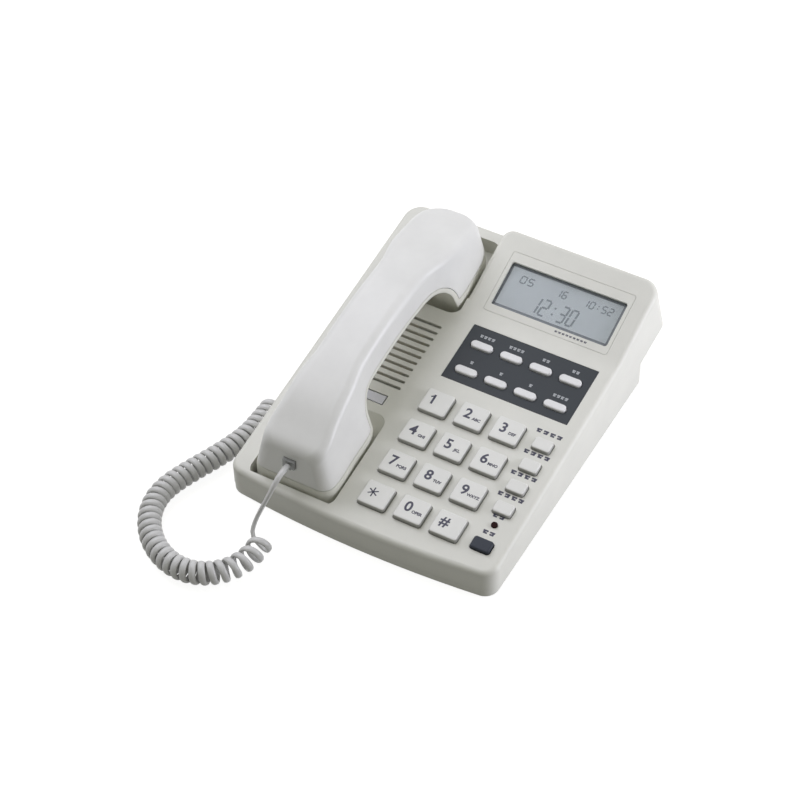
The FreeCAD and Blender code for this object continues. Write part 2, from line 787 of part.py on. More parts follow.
def keypad_mat():
    """Rubber sheet on the board, with a dome under each button and holes for the posts."""
    places = button_places()
    left = min(place[1] for place in places) - key_width / 2 + mat_margin / 2
    right = max(place[1] + place[3] / 2 for place in places) - mat_margin / 2
    front = min(place[2] for place in places) - mat_margin
    rear = max(place[2] for place in places) + mat_margin
    sheet = Part.makeBox(right - left, rear - front, mat_thickness, Vector(left, front, board_top))
    domes = []
    for name, x, v, width, length, rise in places:
        radius = min(dome_radius, length / 2)
        domes.append(Part.makeCone(radius, radius / 2, dome_height, Vector(x, v, mat_top)))
    mat = fuse_all([sheet] + domes)
    for x, v in post_places():
        mat = mat.cut(cylinder(post_diameter / 2 + fit_gap, board_top, mat_top, x, v))
    return in_frame(mat, deck_frame)


def main_board():
    board = Part.makeBox(board_right_x - board_left_x, board_rear_v - board_front_v, board_thickness,
                         Vector(board_left_x, board_front_v, board_bottom))
    for x, v in post_places():
        board = board.cut(cylinder(screw_shank / 2 + fit_gap, board_bottom, board_top, x, v))
    return in_frame(board, deck_frame)


def screws(places, seat, up):
    """Pan-head screws with their heads under a seat and their shanks going up."""
    group = []
    for x, y in places:
        head = cylinder(screw_head / 2, seat - screw_head_height, seat, x, y)
        shank = cylinder(screw_shank / 2, seat, seat + up, x, y)
        group.append(head.fuse(shank).removeSplitter())
    return group


def base_speaker():
    """Loudspeaker under the slots: basket, cone and magnet turned as one piece."""
    top = -wall
    bottom = top - speaker_depth
    cone_edge = speaker_radius - speaker_rim
    magnet_top = bottom + speaker_magnet_height
    magnet_radius = speaker_radius / 2 + speaker_magnet_step
    lip = top - speaker_rim_thickness
    outline = [
        (0, top - speaker_cone_depth), (speaker_cap_radius, top - speaker_cone_depth),
        (cone_edge - speaker_surround, top - speaker_surround_drop), (cone_edge, top),
        (speaker_radius, top), (speaker_radius, lip), (cone_edge, lip - speaker_basket_lip),
        (speaker_radius / 2, magnet_top), (magnet_radius, magnet_top), (magnet_radius, bottom), (0, bottom)]
    points = [Vector(cradle_x + radius, slot_middle, height) for radius, height in outline]
    face = Part.Face(Part.makePolygon(points + points[:1]))
    axis = Vector(cradle_x, slot_middle, 0)
    return in_frame(face.revolve(axis, Vector(0, 0, 1), 360), deck_frame)


def smooth(share):
    share = min(1.0, max(0.0, share))
    return share * share * (3 - 2 * share)


def rounding(distance, radius):
    """How far a rounded corner lies inside its square corner, at a distance from the end."""
    share = min(1.0, max(0.0, 1 - distance / radius))
    return radius * (1 - math.sqrt(1 - share * share))


def arch_height(v):
    """Height of the handset's arched top over the deck."""
    return arch_top - arch_radius + math.sqrt(arch_radius ** 2 - (v - arch_v) ** 2)


def handset_station(v, inset):
    """Half width at the deck, side lean, top and lean of the section plane, at a place along V."""
    into_front = smooth((flare_front + flare_length - v) / flare_length)
    into_rear = smooth((v - flare_rear + flare_length) / flare_length)
    cup = max(into_front, into_rear)
    from_front = v - handset_front - inset
    from_rear = handset_rear - inset - v
    half = handle_half_width + (cup_half_width - handle_half_width) * cup - inset
    half -= rounding(from_front, front_round)
    lean = handle_lean + (cup_lean - handle_lean) * cup
    if from_rear < nose_radius:
        nose = math.sqrt(from_rear * (2 * (nose_radius - inset) - from_rear))
        narrowed = (half ** -nose_power + nose ** -nose_power) ** (-1 / nose_power)
        lean *= narrowed / half
        half = narrowed
    top = arch_height(v) - inset
    top -= rounding(from_front, front_edge) + rounding(from_rear, nose_edge)
    section_lean = handset_lean * smooth((flare_front - v) / (flare_front - handset_front))
    return half, lean, top, section_lean


def handset_section(v, inset):
    """Rounded trapezium across the handset, from the cups' sole to the arch."""
    half, lean, top, section_lean = handset_station(v, inset)
    sole = cup_sole + inset
    top_half = half - lean * top
    radius = min(crown_radius - inset, 0.7 * top_half)
    side = math.hypot(1, lean)
    crown = radius * (math.hypot(1, lean) - lean)
    bend = (top_half - crown, top)
    side_end = (top_half + lean * crown / side, top - crown / side)
    middle_angle = (math.atan(lean) + math.pi / 2) / 2
    centre = (top_half - crown, top - radius)
    middle = (centre[0] + radius * math.cos(middle_angle), centre[1] + radius * math.sin(middle_angle))
    knee = (half - lean * cup_knee, cup_knee)

    def at(x, h):
        return Vector(cradle_x + x, v + section_lean * h, h)

    right = [(half - cup_draft, sole), knee, side_end]
    edges = [Part.LineSegment(at(*a), at(*b)).toShape() for a, b in zip(right, right[1:])]
    edges.append(Part.Arc(at(*side_end), at(*middle), at(*bend)).toShape())
    edges.append(Part.LineSegment(at(*bend), at(-bend[0], bend[1])).toShape())
    left_bend, left_middle, left_end = [at(-x, h) for x, h in (bend, middle, side_end)]
    edges.append(Part.Arc(left_bend, left_middle, left_end).toShape())
    left = [(-x, h) for x, h in reversed(right)]
    edges += [Part.LineSegment(at(*a), at(*b)).toShape() for a, b in zip(left, left[1:])]
    edges.append(Part.LineSegment(at(*left[-1]), at(*right[0])).toShape())
    return Part.Wire(edges)


def handset_loft(inset):
    """Smooth body of the handset, without its finger gap."""
    front = handset_front + inset
    rear = handset_rear - inset
    stations = [front + front_round * share for share in (0.0, 0.08, 0.25, 0.5, 1.0)]
    stations.append((front + front_round + flare_front) / 2)
    stations += [flare_front + flare_length * share for share in (-0.15, 0.2, 0.5, 0.8, 1.15)]
    stations.append((flare_front + flare_rear) / 2)
    stations += [flare_rear - flare_length * share for share in (1.15, 0.8, 0.5, 0.2, -0.15)]
    stations += [rear - nose_radius * share for share in (0.85, 0.6, 0.42, 0.28, 0.17, 0.09, 0.04)]
    stations.append(rear - nose_end)
    return Part.makeLoft([handset_section(v, inset) for v in stations], True, False)


def finger_gap(grow):
    """The space under the handle between the cups, grown towards the handset."""
    under = arch_radius - handle_thickness + grow
    centre = (arch_v, arch_top - arch_radius)

    def on_arch(v):
        return (v, centre[1] + math.sqrt(under ** 2 - (v - centre[0]) ** 2))

    front = grip_front - grow
    rear = grip_rear + grow
    front_radius = grip_front_radius + grow
    rear_radius = grip_rear_radius + grow
    low = cup_sole - wall
    front_top = on_arch(front + front_radius)
    rear_top = on_arch(rear - rear_radius)
    diagonal = math.sqrt(0.5)
    front_mid = (front + front_radius * (1 - diagonal), front_top[1] - front_radius * (1 - diagonal))
    rear_mid = (rear - rear_radius * (1 - diagonal), rear_top[1] - rear_radius * (1 - diagonal))
    slope = well_depth / mouth_well_slope
    chamfer_h = cup_chamfer_top + grow * (math.hypot(1, slope) - slope)
    chamfer_v = front - grip_lean * (front_top[1] - front_radius - chamfer_h)
    return side_prism(cradle_x - well_width, cradle_x + well_width, [
        (chamfer_v - (chamfer_h - low) / slope, low), (chamfer_v, chamfer_h),
        (front, front_top[1] - front_radius), (front_mid, front_top),
        (on_arch((front_top[0] + rear_top[0]) / 2), rear_top),
        (rear_mid, (rear, rear_top[1] - rear_radius)), (rear + grip_lean * (rear_top[1] - low), low)])


def handset_lower_zone(grow):
    """Everything on the inner shell's side of the handset's seam."""
    low = Part.makeBox(2 * well_width, far, cup_seam + grow + far / 2,
                       Vector(cradle_x - well_width, -far / 2, -far / 2))
    return low.fuse(finger_gap(handset_seam_rise + grow))


def handset_shells():
    """Outer and inner half of the hollow handset, with the holes of its cups and its socket."""
    body = handset_loft(0).cut(finger_gap(0))
    hollow = handset_loft(handset_wall).cut(finger_gap(handset_wall))
    shell = body.cut(hollow)
    floor = cup_sole + handset_wall
    outer = shell.cut(handset_lower_zone(seam))
    bosses = [cylinder(handset_boss_radius, floor, far, cradle_x, v).common(hollow) for v in handset_screw_v]
    outer = fuse_all([outer] + bosses)
    for v in handset_screw_v:
        outer = outer.cut(cylinder(screw_shank / 2, floor, floor + 2 * screw_bite, cradle_x, v))
    outer = in_frame(outer, deck_frame)
    outer = outer.cut(in_frame(socket_mouth(*plug_opening(), -wall), socket_frame_handset()))
    inner = shell.common(handset_lower_zone(0))
    holes = [cylinder(ear_hole_radius, 2 * cup_sole, 0, cradle_x, receiver_v)]
    for index in range(ear_hole_count):
        turn = 2 * math.pi * index / ear_hole_count
        x = cradle_x + ear_hole_ring * math.cos(turn)
        v = receiver_v + ear_hole_ring * math.sin(turn)
        holes.append(cylinder(ear_hole_radius, 2 * cup_sole, 0, x, v))
    for column in (-1, 0, 1):
        x = cradle_x + column * mouth_hole_pitch
        holes.append(cylinder(mouth_hole_radius, 2 * cup_sole, 0, x, microphone_v))
    for v in handset_screw_v:
        holes.append(cylinder(screw_shank / 2 + fit_gap, 2 * cup_sole, floor, cradle_x, v))
        head_seat = floor - screw_head_height / 2
        holes.append(cylinder(screw_head / 2 + fit_gap, 2 * cup_sole, head_seat, cradle_x, v))
    inner = inner.cut(holes[0].multiFuse(holes[1:]))
    return outer, in_frame(inner, deck_frame)


def handset_weight():
    """Curved slug that lies on the floor of the handle."""
    low = arch_radius - handle_thickness + handset_wall + weight_gap
    centre = (arch_v, arch_top - arch_radius)

    def at(radius, share):
        turn = share * weight_length / 2 / low
        return (centre[0] + radius * math.sin(turn), centre[1] + radius * math.cos(turn))

    high = low + weight_height
    slug = side_prism(cradle_x - weight_width / 2, cradle_x + weight_width / 2, [
        at(low, -1), (at(low, 0), at(low, 1)), at(high, 1), (at(high, 0), at(high, -1))])
    return in_frame(slug, deck_frame)


def plug_opening():
    return plug_width + 2 * plug_gap, plug_height + 2 * plug_gap


def handset_socket_seat():
    return in_frame(socket(socket_width, *plug_opening(), handset_wall + fit_gap), socket_frame_handset())


def unit(vector):
    return Vector(vector).normalize()


def cord_section(place, way):
    """Six-sided section of the cord, square to its path."""
    side = unit(way.cross(section_up))
    up = unit(side.cross(way))
    corners = []
    for index in range(wire_sides):
        turn = 2 * math.pi * index / wire_sides
        corners.append(place + (side * math.cos(turn) + up * math.sin(turn)) * (wire_diameter / 2))
    return Part.makePolygon(corners + corners[:1])


def sweep(edges):
    """Tube of the cord's section along a chain of edges."""
    path = Part.Wire(edges)
    first = edges[0]
    start = first.valueAt(first.FirstParameter)
    pipe = Part.BRepOffsetAPI.MakePipeShell(path)
    pipe.add(cord_section(start, first.tangentAt(first.FirstParameter)))
    pipe.build()
    pipe.makeSolid()
    return pipe.shape(), path.Length


def rounded_route(points):
    """Straight runs joined by tangent arcs, each as large as its two runs allow."""
    edges = []
    radii = []
    last = points[0]
    for before, corner, after in zip(points, points[1:], points[2:]):
        way_in = unit(corner - before)
        way_out = unit(after - corner)
        turn = way_in.getAngle(way_out)
        reach = bend_share * min((corner - before).Length, (after - corner).Length)
        radius = reach / math.tan(turn / 2)
        start = corner - way_in * reach
        end = corner + way_out * reach
        bisector = unit(way_out - way_in)
        middle = corner + bisector * (radius / math.cos(turn / 2) - radius)
        edges.append(Part.LineSegment(last, start).toShape())
        edges.append(Part.Arc(start, middle, end).toShape())
        radii.append(radius)
        last = end
    edges.append(Part.LineSegment(last, points[-1]).toShape())
    return edges, radii


def biarc(start, start_way, end, end_way):
    """Two arcs that leave one point and reach another along given directions."""
    chord = end - start
    ways = start_way + end_way
    a = 2 * (1 - start_way.dot(end_way))
    b = 2 * chord.dot(ways)
    c = -chord.dot(chord)
    reach = -c / b if abs(a) < 1e-9 else (-b + math.sqrt(b * b - 4 * a * c)) / (2 * a)
    joint_a = start + start_way * reach
    joint_b = end - end_way * reach
    joint = (joint_a + joint_b) * 0.5
    edges = []
    for tail, corner, head in ((start, joint_a, joint), (joint, joint_b, end)):
        bend = unit(corner - tail).getAngle(unit(head - corner))
        if bend < 1e-4:
            edges.append(Part.LineSegment(tail, head).toShape())
            continue
        half = (head - tail).Length / 2
        rise = half * math.tan(bend / 4)
        middle = (tail + head) * 0.5 + unit(corner - (tail + head) * 0.5) * rise
        edges.append(Part.Arc(tail, middle, head).toShape())
    return edges


def coil_edges(tail_a, way_a, tail_b, way_b):
    """The curls: a helix wound on the coil's route, with straight ends that meet the two leads."""
    line = Part.BSplineCurve()
    line.interpolate([Vector(x - half_width, y, coil_height) for x, y in coil_route])
    length = line.length()
    radius = (coil_diameter - wire_diameter) / 2
    turns = coil_quarter_turns / 4

    def on_helix(turn):
        share = turn / turns
        loose = max(0.0, share - coil_loose_from) / (1 - coil_loose_from)
        run = share + coil_loosening * loose * loose * (1 - coil_loose_from)
        run /= 1 + coil_loosening * (1 - coil_loose_from)
        inside = min(1.0, max(0.0, run))
        parameter = line.parameterAtDistance(length * inside, line.FirstParameter)
        way = unit(line.tangent(parameter)[0])
        place = line.value(parameter) + way * (length * (run - inside))
        side = unit(way.cross(Vector(0, 0, 1)))
        angle = math.pi - 2 * math.pi * turn
        return place + side * (radius * math.cos(angle)) + Vector(0, 0, radius * math.sin(angle))

    def helix_way(turn):
        small = 0.002
        return unit(on_helix(turn + small) - on_helix(turn - small))

    places = [on_helix(index / 4) for index in range(coil_quarter_turns + 1)]
    ways = [helix_way(index / 4) for index in range(coil_quarter_turns + 1)]
    inner_a = tail_a + way_a * wire_diameter
    inner_b = tail_b - way_b * wire_diameter
    places = [inner_a] + places + [inner_b]
    ways = [way_a] + ways + [way_b]
    edges = [Part.LineSegment(tail_a, inner_a).toShape()]
    for index in range(len(places) - 1):
        edges += biarc(places[index], ways[index], places[index + 1], ways[index + 1])
    edges.append(Part.LineSegment(inner_b, tail_b).toShape())
    return edges


def least_gap(edges):
    """Least clear distance of a tube to itself, on points along its path."""
    points = []
    run = 0.0
    for edge in edges:
        for point in edge.discretize(Number=5)[:-1]:
            if points:
                run += point.distanceToPoint(points[-1][1])
            points.append((run, point))
    least = far
    for index, (run_a, a) in enumerate(points):
        for run_b, b in points[index + 1:]:
            if run_b - run_a > 6 * coil_diameter:
                break
            if run_b - run_a > coil_diameter:
                least = min(least, a.distanceToPoint(b))
    return least - wire_diameter


def cord():
    """The two straight leads and the curls between them."""
    base_exit = cord_exit(socket_frame_rear(cord_socket_x), 0)
    handset_exit = cord_exit(socket_frame_handset(), cord_gap)
    side = Vector(-half_width, 0, 0)
    base_points = [base_exit] + [Vector(*point) + side for point in base_lead_route]
    handset_points = [Vector(*point) + side for point in handset_lead_route] + [handset_exit]
    for name, points in (("base_lead", base_points), ("handset_lead", handset_points)):
        edges, radii = rounded_route(points)
        tube, length = sweep(edges)
        print(name, "radii", [round(radius, 1) for radius in radii], "length", round(length, 1),
              "volume", round(tube.Volume, 1), "section x length", round(section_area() * length, 1))
        export(tube, name)
    edges = coil_edges(base_points[-1], unit(base_points[-1] - base_points[-2]),
                       handset_points[0], unit(handset_points[1] - handset_points[0]))
    tube, length = sweep(edges)
    print("cord_coil length", round(length, 1), "least gap", round(least_gap(edges), 2),
          "volume", round(tube.Volume, 1), "section x length", round(section_area() * length, 1))
    export(tube, "cord_coil")


def section_area():
    return wire_sides / 2 * (wire_diameter / 2) ** 2 * math.sin(2 * math.pi / wire_sides)


def base():
    outer_parts = joined_block(0)
    inner_left, inner_right = joined_block(wall)
    inner = inner_left.fuse(inner_right).removeSplitter()
    export(top_housing(outer_parts, inner), "top_housing")
    export(bottom_cover(outer_parts, inner), "bottom_cover")
    export(Part.makeCompound([cylinder(foot_diameter / 2, 0, table_gap + foot_pocket, x, y)
                              for x, y in foot_places()]), "rubber_feet")
    cover_seat = table_gap + screw_head_height
    export(Part.makeCompound(screws(boss_places(), cover_seat, 2 * screw_bite)), "cover_screws")
    plate = panel_plate(0)
    for place in button_places():
        export(button(place), place[0])
        if place[0].startswith("panel_button"):
            plate = plate.cut(button_hole(place))
    export(plate, "button_panel")
    lamp = cylinder(lamp_diameter / 2 - fit_gap, board_top, button_edge_radius, function_key_x, lamp_v)
    export(in_frame(lamp, deck_frame), "indicator_lamp")
    export(keypad_mat().cut(in_frame(cylinder(lamp_diameter / 2, board_top, mat_top, function_key_x, lamp_v),
                                     deck_frame)), "keypad_mat")
    export(main_board(), "main_board")
    board_screws = [in_frame(screw, deck_frame) for screw in screws(post_places(), board_bottom,
                                                                    board_thickness + screw_bite)]
    export(Part.makeCompound(board_screws), "board_screws")
    export(lcd_bezel(), "lcd_bezel")
    export(display_layer(-bezel_thickness, window_thickness, window_lap), "lcd_window")
    display_top = -bezel_thickness - window_thickness
    export(display_layer(display_top, display_thickness, window_lap / 2), "lcd_module")
    export(base_speaker(), "base_speaker")
    export(hook_lever(), "hook_lever")
    export(in_frame(hook_switch_box(*hook_switch_heights()), deck_frame), "hook_switch")
    capsule = cylinder(base_microphone_radius, board_bottom - base_microphone_height, board_bottom,
                       base_microphone_x, base_microphone_v)
    export(in_frame(capsule, deck_frame), "base_microphone")
    cord_frame = socket_frame_rear(cord_socket_x)
    export(in_frame(socket(socket_width, *plug_opening(), 0), cord_frame), "cord_socket")
    export(in_frame(plug(), cord_frame), "base_plug")
    line_socket = socket(line_socket_width, line_opening_width, line_opening_height, 0)
    export(in_frame(line_socket, socket_frame_rear(line_socket_x)), "line_socket")


def handset():
    outer, inner = handset_shells()
    export(outer, "handset_outer_shell")
    export(inner, "handset_inner_shell")
    floor = cup_sole + handset_wall
    receiver = cylinder(receiver_radius, floor, floor + receiver_height, cradle_x, receiver_v)
    export(in_frame(receiver, deck_frame), "ear_receiver")
    microphone = cylinder(microphone_radius, floor, floor + microphone_height, cradle_x, microphone_v)
    export(in_frame(microphone, deck_frame), "handset_microphone")
    export(handset_weight(), "handset_weight")
    head_seat = floor - screw_head_height / 2
    places = [(cradle_x, v) for v in handset_screw_v]
    screw_group = screws(places, head_seat, screw_head_height / 2 + 2 * screw_bite)
    export(Part.makeCompound([in_frame(screw, deck_frame) for screw in screw_group]), "handset_screws")
    export(handset_socket_seat(), "handset_socket")
    export(in_frame(plug(), socket_frame_handset()), "handset_plug")


os.makedirs("parts", exist_ok=True)
base()
handset()
cord()
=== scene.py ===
import math

import bmesh
import bpy
from mathutils import Matrix, Quaternion, Vector
from mathutils.kdtree import KDTree


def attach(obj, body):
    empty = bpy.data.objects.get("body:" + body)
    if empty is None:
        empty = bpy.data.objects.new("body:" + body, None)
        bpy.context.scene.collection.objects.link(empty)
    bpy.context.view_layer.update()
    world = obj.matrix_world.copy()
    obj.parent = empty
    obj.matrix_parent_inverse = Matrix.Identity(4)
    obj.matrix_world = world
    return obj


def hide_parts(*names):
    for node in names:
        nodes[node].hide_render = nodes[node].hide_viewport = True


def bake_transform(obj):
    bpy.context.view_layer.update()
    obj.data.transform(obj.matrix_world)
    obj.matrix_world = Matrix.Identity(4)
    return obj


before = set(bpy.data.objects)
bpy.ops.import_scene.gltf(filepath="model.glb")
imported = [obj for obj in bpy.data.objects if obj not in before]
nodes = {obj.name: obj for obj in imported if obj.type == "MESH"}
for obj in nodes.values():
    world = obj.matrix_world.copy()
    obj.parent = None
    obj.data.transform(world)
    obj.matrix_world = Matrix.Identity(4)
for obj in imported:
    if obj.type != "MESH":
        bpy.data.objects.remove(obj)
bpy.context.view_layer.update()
scene = bpy.context.scene
scene.view_settings.view_transform = "Standard"
MM = 0.001

# Camera at the photograph's viewing angle, in metres.
camera_place = Vector((0.44071, -0.81583, 1.00600))
camera_aim = Vector((-0.02484, -0.01665, 0.0200))
camera_roll = math.radians(-1.162)
camera_lens = 103.5
camera_sensor = 36.0

# Frames of the deck and of the raised screen, in millimetres and degrees.
deck_height = 36.7
deck_tilt = 8.0
crease_y = 47.5
screen_tilt = 19.8

# Curly cord, in millimetres, with routes measured from the left side of the base.
left_side = Vector((-85.8, 0.0, 0.0))
lead_width = 3.8
curl_width = 4.2
cord_thickness = 2.6
lead_edge_way = Vector((-0.82, -0.09, 0.28))
plug_flat_way = Vector((0.0, 0.0, 1.0))
coil_radius = 5.75
coil_turns = 40.75
coil_height = 7.4
coil_loosening = 0.35
coil_loose_from = 0.85
points_per_turn = 16
cord_sides = 12
axis_resolution = 24
line_resolution = 2
curl_margin = 4
flat_turn_share = 0.4
edge_on_share = 0.6
base_lead_route = [
    (27.8, 82.0, 7.8), (27.8, 93.6, 6.8), (18.3, 101.2, 5.2), (3.8, 100.2, 3.4), (-8.2, 92.6, 2.4),
    (-12.8, 78.0, 2.0), (-11.6, 58.0, 2.2), (-9.4, 34.0, 2.0), (-7.4, 9.0, 2.2), (-4.8, -14.0, 2.0),
    (-3.2, -30.0, 2.2)]
coil_route = [
    (-8.8, -48.0), (-8.8, -62.0), (-9.8, -76.0), (-16.2, -95.5), (-24.5, -115.0), (-29.5, -130.0),
    (-29.7, -143.0), (-25.0, -156.0), (-14.9, -168.0), (-1.2, -175.8), (12.3, -177.9), (24.0, -174.6),
    (33.6, -167.0), (39.2, -156.6), (40.8, -147.2), (40.4, -139.0)]
handset_lead_route = [
    (32.2, -136.9, 5.2), (30.8, -132.9, 8.8), (31.8, -129.4, 14.6), (34.2, -126.0, 22.0),
    (36.9, -123.0, 30.0), (38.9, -119.5, 36.9), (39.6, -114.0, 40.2), (39.8, -106.9, 40.07)]

# Buttons, in millimetres on the deck.
key_names = ["key_1", "key_2", "key_3", "key_4", "key_5", "key_6", "key_7", "key_8", "key_9",
             "key_star", "key_0", "key_hash"]
key_first = (2.35, -21.3)
key_pitch = (23.0, 23.68)
key_top = 3.0
function_key_x = 70.7
function_key_first_v = -20.9
function_key_pitch = 15.97
function_key_count = 4
speaker_button_v = -95.0
lamp_v = -80.0
panel_button_first = (6.3, 27.2)
panel_button_pitch = (19.3, 19.9)
display_place = (34.3, 24.8)
window_size = (76.3, 30.6)
display_top = -2.8

# Printed marks, in millimetres.
ink = 0.04
digit_size = 9.2
digit_weight = 0.22
digit_place = (-2.6, 0.6)
star_place = (-2.4, 0.6)
star_bar = (0.75, 6.4)
flag_place = (-3.6, 2.9)
flag_bar = (0.9, 2.6)
flag_turn = -1.0
letter_size = 2.6
letter_weight = 0.11
letter_place = (3.7, -1.5)
letter_groups = ["", "ABC", "DEF", "GHI", "JKL", "MNO", "PQRS", "TUV", "WXYZ", "", "OPER", ""]

# Label signs, in millimetres: pitch, width and height of the signs, and their rise over what they label.
label_shift = -0.5
function_label = (4.3, 3.1, 2.6)
function_label_rise = 9.4
function_label_count = 4
small_label = (4.1, 3.1, 2.5)
small_label_count = 2
lamp_label_rise = 6.2
speaker_label_rise = 9.2
panel_label = (2.5, 1.9, 2.0)
panel_label_rise = 7.2
panel_label_counts = [4, 4, 2, 2, 1, 1, 1, 4]
bezel_label = (2.4, 1.7, 1.1)
bezel_label_shift = 16.0
bezel_label_r = 7.4
bezel_label_count = 9

# Display, in millimetres from its middle: text, X, R, width, height and stroke of the digits.
display_rows = [
    ("12:30", -1.5, -4.9, 3.9, 10.8, 1.2), ("05", -25.0, 7.4, 3.2, 4.6, 0.8),
    ("16", -2.0, 7.4, 2.6, 4.6, 0.8), ("10:52", 22.0, 7.4, 2.6, 4.6, 0.8)]
segment_step = 1.55
segment_lean = 0.1
segment_gap = 0.5
# Widths of the dark border round the display glass: partly a printed border, partly painted shade of the
# window's recess.
border_and_shade_top = 2.8
border_and_shade_bottom = 5.6
border_and_shade_left = 2.6
border_and_shade_right = 4.4

# Studio, in metres and watts: place, size and power of each lamp.
right_lamp = ((0.58, 0.18, 0.15), 0.40, 2.6)
left_lamp = ((-0.62, 0.22, 0.88), 0.90, 6.4)
lamp_colour = (1.0, 1.0, 1.12)
floor_size = 6.0
floor_colour = (0.30, 0.30, 0.28, 1.0)
floor_seen = 0.90
white = (1.0, 1.0, 1.0, 1.0)
sky_colour = (1.0, 1.0, 0.90, 1.0)
sky_way = (0.0, 0.5, 0.87)
sky_low = 0.12
sky_high = 0.42


def place_camera():
    data = bpy.data.cameras.new("camera")
    data.lens = camera_lens
    data.sensor_width = camera_sensor
    camera = bpy.data.objects.new("camera", data)
    aim = (camera_aim - camera_place).to_track_quat("-Z", "Y")
    camera.rotation_mode = "QUATERNION"
    camera.rotation_quaternion = aim @ Quaternion((0, 0, 1), camera_roll)
    camera.location = camera_place
    scene.collection.objects.link(camera)
    scene.camera = camera


def spline_points(points, resolution):
    """Points read from a smooth NURBS spline over control points in metres."""
    curve = bpy.data.curves.new("route", "CURVE")
    curve.dimensions = "3D"
    curve.resolution_u = resolution
    spline = curve.splines.new("NURBS")
    spline.points.add(len(points) - 1)
    for control, point in zip(spline.points, points):
        control.co = (point[0], point[1], point[2], 1.0)
    spline.order_u = 3
    spline.use_endpoint_u = True
    holder = bpy.data.objects.new("route", curve)
    scene.collection.objects.link(holder)
    bpy.context.view_layer.update()
    mesh = bpy.data.meshes.new_from_object(holder)
    line = [vertex.co.copy() for vertex in mesh.vertices]
    bpy.data.objects.remove(holder)
    bpy.data.curves.remove(curve)
    bpy.data.meshes.remove(mesh)
    return line


def runs_of(line):
    """Distance of each point along a line."""
    runs = [0.0]
    for a, b in zip(line, line[1:]):
        runs.append(runs[-1] + (b - a).length)
    return runs


def helix_points(axis):
    """Turns of the curly cord round its axis, opening a little toward the handset."""
    runs = runs_of(axis)
    points = []
    index = 0
    steps = round(coil_turns * points_per_turn)
    radius = coil_radius * MM / math.cos(math.pi / points_per_turn)
    for step in range(steps + 1):
        share = step / steps
        loose = max(0.0, share - coil_loose_from) / (1 - coil_loose_from)
        run = share + coil_loosening * loose * loose * (1 - coil_loose_from)
        run *= runs[-1] / (1 + coil_loosening * (1 - coil_loose_from))
        while index < len(runs) - 2 and runs[index + 1] < run:
            index += 1
        way = axis[index + 1] - axis[index]
        place = axis[index] + way * ((run - runs[index]) / way.length)
        side = way.cross(Vector((0, 0, 1))).normalized()
        angle = math.pi - 2 * math.pi * step / points_per_turn
        points.append(place + radius * (math.cos(angle) * side + math.sin(angle) * Vector((0, 0, 1))))
    return points


def tube_normals(line, axis):
    """Ways along the cord, its flat side at each point, and the points that are curled.

    The flat side turns away from the coil's axis, and is carried on along the leads.
    """
    tree = KDTree(len(axis))
    for index, point in enumerate(axis):
        tree.insert(point, index)
    tree.balance()
    ways = []
    for index in range(len(line)):
        ways.append((line[min(index + 1, len(line) - 1)] - line[max(index - 1, 0)]).normalized())
    first = len(base_lead_route) * line_resolution + curl_margin
    after = len(line) - len(handset_lead_route) * line_resolution - curl_margin
    coiled = range(first, after)
    normals = [None] * len(line)
    for index in coiled:
        out = line[index] - tree.find(line[index])[0]
        normals[index] = (out - ways[index] * out.dot(ways[index])).normalized()
    for index in range(coiled.start - 1, -1, -1):
        kept = normals[index + 1].lerp(plug_flat_way, flat_turn_share)
        normals[index] = (kept - ways[index] * kept.dot(ways[index])).normalized()
    for index in range(coiled.stop, len(line)):
        share = (index - coiled.stop) / (len(line) - 1 - coiled.stop)
        flat_way = lead_edge_way if share < edge_on_share else plug_flat_way
        kept = normals[index - 1].lerp(flat_way, flat_turn_share)
        normals[index] = (kept - ways[index] * kept.dot(ways[index])).normalized()
    return ways, normals, coiled


def curly_cord(material):
    """The whole cord as one tube: base lead, curls and handset lead."""
    base_lead, handset_lead = [[(Vector(point) + left_side) * MM for point in route]
                               for route in (base_lead_route, handset_lead_route)]
    axis_controls = [(Vector((x, y, coil_height)) + left_side) * MM for x, y in coil_route]
    axis = spline_points(axis_controls, axis_resolution)
    controls = base_lead + helix_points(axis) + handset_lead
    line = spline_points(controls, line_resolution)
    ways, normals, coiled = tube_normals(line, axis)
    mesh = bpy.data.meshes.new("curly_cord")
    shape = bmesh.new()
    rings = []
    for index, (point, way, normal) in enumerate(zip(line, ways, normals)):
        across = way.cross(normal)
        width = curl_width if index in coiled else lead_width
        ring = []
        for side in range(cord_sides):
            angle = 2 * math.pi * side / cord_sides
            out = normal * (cord_thickness / 2 * math.cos(angle)) + across * (width / 2 * math.sin(angle))
            ring.append(shape.verts.new(point + out * MM))
        rings.append(ring)
    for ring, after in zip(rings, rings[1:]):
        for side in range(cord_sides):
            beside = (side + 1) % cord_sides
            shape.faces.new((ring[side], ring[beside], after[beside], after[side])).smooth = True
    shape.faces.new(rings[0][::-1])
    shape.faces.new(rings[-1])
    bmesh.ops.recalc_face_normals(shape, faces=shape.faces)
    shape.to_mesh(mesh)
    shape.free()
    mesh.materials.append(material)
    cord = bpy.data.objects.new("curly_cord", mesh)
    scene.collection.objects.link(cord)
    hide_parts("base_lead", "cord_coil", "handset_lead")
    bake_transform(cord)


def node_after(tree, kind, **inputs):
    """A new shader node with some of its sockets set."""
    made = tree.nodes.new(kind)
    for name, value in inputs.items():
        made.inputs[name.replace("_", " ")].default_value = value
    return made


def shade(colour, factor):
    return tuple(min(1.0, part * factor) for part in colour) + (1.0,)


